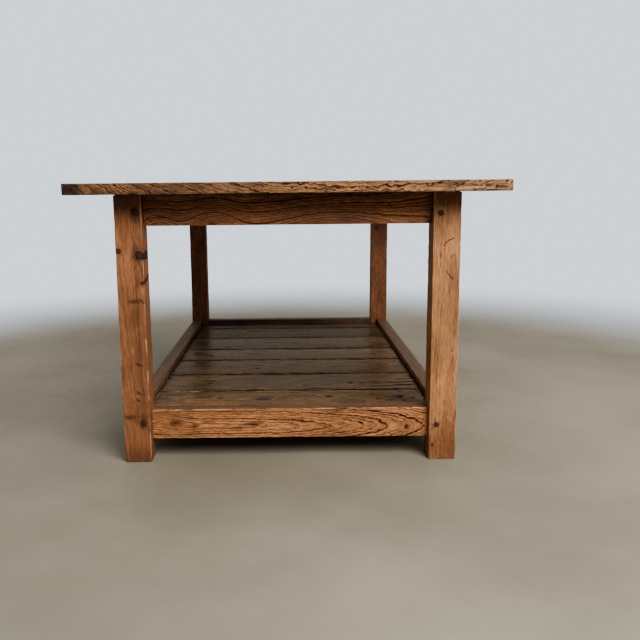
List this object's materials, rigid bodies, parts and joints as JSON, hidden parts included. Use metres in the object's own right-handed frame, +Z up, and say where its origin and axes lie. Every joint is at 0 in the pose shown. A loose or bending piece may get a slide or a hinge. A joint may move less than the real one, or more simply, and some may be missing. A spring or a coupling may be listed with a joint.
{
  "type": "low table",
  "caption": "Low rectangular plank-top table on square legs, with aprons, lower stretchers and a boarded shelf, in stained reclaimed wood with pegged joints.",
  "frame": {"origin": "on the floor under the middle of the table", "axes": "+X across the width, +Y along the length away from the front end, +Z up"},
  "size_m": [0.686, 1.082, 0.467],
  "materials": {
    "leg_wood": "worn wax over old red-brown softwood",
    "apron_wood": "worn wax over golden-brown wood with dark cathedral figure",
    "stretcher_wood": "worn wax over orange-brown wood with strong dark figure",
    "shelf_wood": "satin polish on dark stained boards",
    "top_wood": "satin wax on golden-brown planks",
    "peg_wood": "dark end grain",
    "hidden_wood": "bare sawn wood",
    "screw_steel": "dull with age"
  },
  "bodies": {
    "root": {"leg_front_left": "leg_wood", "leg_front_right": "leg_wood", "leg_back_left": "leg_wood", "leg_back_right": "leg_wood", "apron_front": "apron_wood", "apron_back": "apron_wood", "apron_left": "apron_wood", "apron_right": "apron_wood", "stretcher_front": "stretcher_wood", "stretcher_back": "stretcher_wood", "stretcher_left": "stretcher_wood", "stretcher_right": "stretcher_wood", "peg_front_left_apron_end": "peg_wood", "peg_front_left_apron_side": "peg_wood", "peg_front_left_stretcher_end": "peg_wood", "peg_front_left_stretcher_side": "peg_wood", "peg_front_right_apron_end": "peg_wood", "peg_front_right_apron_side": "peg_wood", "peg_front_right_stretcher_end": "peg_wood", "peg_front_right_stretcher_side": "peg_wood", "peg_back_left_apron_end": "peg_wood", "peg_back_left_apron_side": "peg_wood", "peg_back_left_stretcher_end": "peg_wood", "peg_back_left_stretcher_side": "peg_wood", "peg_back_right_apron_end": "peg_wood", "peg_back_right_apron_side": "peg_wood", "peg_back_right_stretcher_end": "peg_wood", "peg_back_right_stretcher_side": "peg_wood", "shelf_cleat_left": "hidden_wood", "shelf_cleat_right": "hidden_wood", "shelf_board_1": "shelf_wood", "shelf_board_2": "shelf_wood", "shelf_board_3": "shelf_wood", "shelf_board_4": "shelf_wood", "shelf_board_5": "shelf_wood", "shelf_board_6": "shelf_wood", "shelf_board_7": "shelf_wood", "top_plank_1": "top_wood", "top_plank_2": "top_wood", "top_plank_3": "top_wood", "top_plank_4": "top_wood", "top_plank_5": "top_wood", "top_end_front": "top_wood", "top_end_back": "top_wood", "top_peg_front_left": "peg_wood", "top_peg_front_right": "peg_wood", "top_peg_back_left": "peg_wood", "top_peg_back_right": "peg_wood", "button_left_front": "hidden_wood", "button_left_back": "hidden_wood", "button_right_front": "hidden_wood", "button_right_back": "hidden_wood", "button_front": "hidden_wood", "button_back": "hidden_wood", "screw_left_front": "screw_steel", "screw_left_back": "screw_steel", "screw_right_front": "screw_steel", "screw_right_back": "screw_steel", "screw_front": "screw_steel", "screw_back": "screw_steel"}
  },
  "joints": []
}
